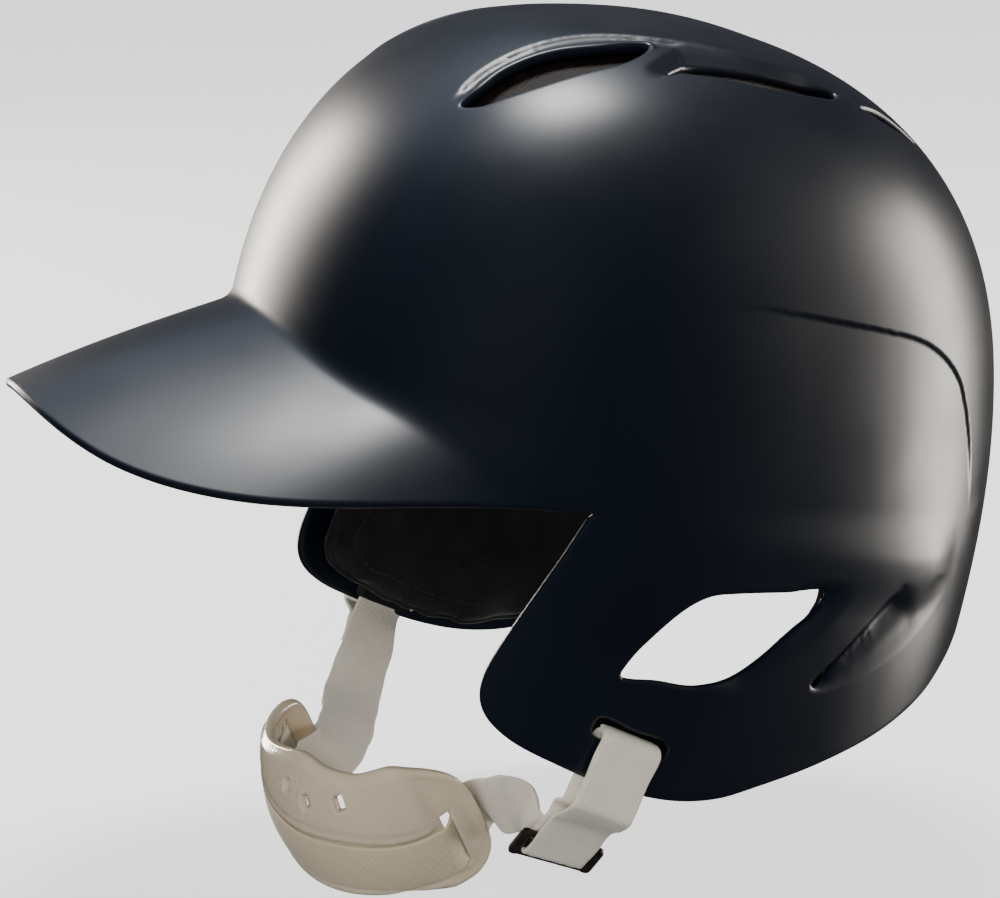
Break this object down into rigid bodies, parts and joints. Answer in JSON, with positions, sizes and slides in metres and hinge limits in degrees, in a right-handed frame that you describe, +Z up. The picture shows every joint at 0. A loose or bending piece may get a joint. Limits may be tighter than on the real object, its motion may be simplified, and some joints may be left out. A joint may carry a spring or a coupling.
{
  "type": "batting helmet",
  "caption": "Hard-shell batting helmet with a brim, ear flaps on both sides, crown vents, a padded liner and a webbing chin strap with a cup and a slider.",
  "frame": {"origin": "on the flat underside of the crown pad, where the top of the wearer's head rests, on the middle plane", "axes": "+Z up, the brim points to -Y, the wearer's left is +X"},
  "size_m": [0.2195, 0.3211, 0.2777],
  "materials": {
    "shell": "moulded shell in very dark navy, satin gloss",
    "pad_cover": "black synthetic leather over foam, soft sheen",
    "vent_mesh": "dark woven mesh",
    "hook_tape": "black hook-and-loop tape",
    "webbing": "ivory ribbed webbing",
    "cup_plastic": "soft translucent beige plastic",
    "black_plastic": "black moulded plastic",
    "slider_metal": "dark bronze enamel"
  },
  "bodies": {
    "helmet": {"shell": "shell", "brow_pad": "pad_cover", "side_pad_left": "pad_cover", "side_pad_right": "pad_cover", "rear_pad_left": "pad_cover", "rear_pad_right": "pad_cover", "nape_pad": "pad_cover", "crown_pad": "pad_cover", "jaw_pad_left": "pad_cover", "jaw_pad_right": "pad_cover", "vent_screen_left_front": "vent_mesh", "vent_screen_left_middle": "vent_mesh", "vent_screen_left_rear": "vent_mesh", "flap_webbing_left": "webbing", "pad_fastener_left_upper": "hook_tape", "pad_fastener_left_rear": "hook_tape", "vent_screen_right_front": "vent_mesh", "vent_screen_right_middle": "vent_mesh", "vent_screen_right_rear": "vent_mesh", "flap_webbing_right": "webbing", "pad_fastener_right_upper": "hook_tape", "pad_fastener_right_rear": "hook_tape", "strap_keeper_left": "black_plastic", "strap_keeper_right": "black_plastic"},
    "chin_strap": {"chin_cup": "cup_plastic", "left_loop_webbing": "webbing", "cup_webbing": "webbing", "right_webbing": "webbing"},
    "slider": {"strap_slider": "slider_metal"}
  },
  "joints": [
    {"name": "chin_strap_swing", "type": "hinge", "parent": "helmet", "child": "chin_strap", "pos_m": [0, -0.00241, -0.1993], "axis": [1, 0, 0], "range_deg": [-24, 40]},
    {"name": "slider_slide", "type": "slide", "parent": "chin_strap", "child": "slider", "axis": [0.7082, 0.2031, 0.6762], "range_m": [0, 0.008]}
  ]
}
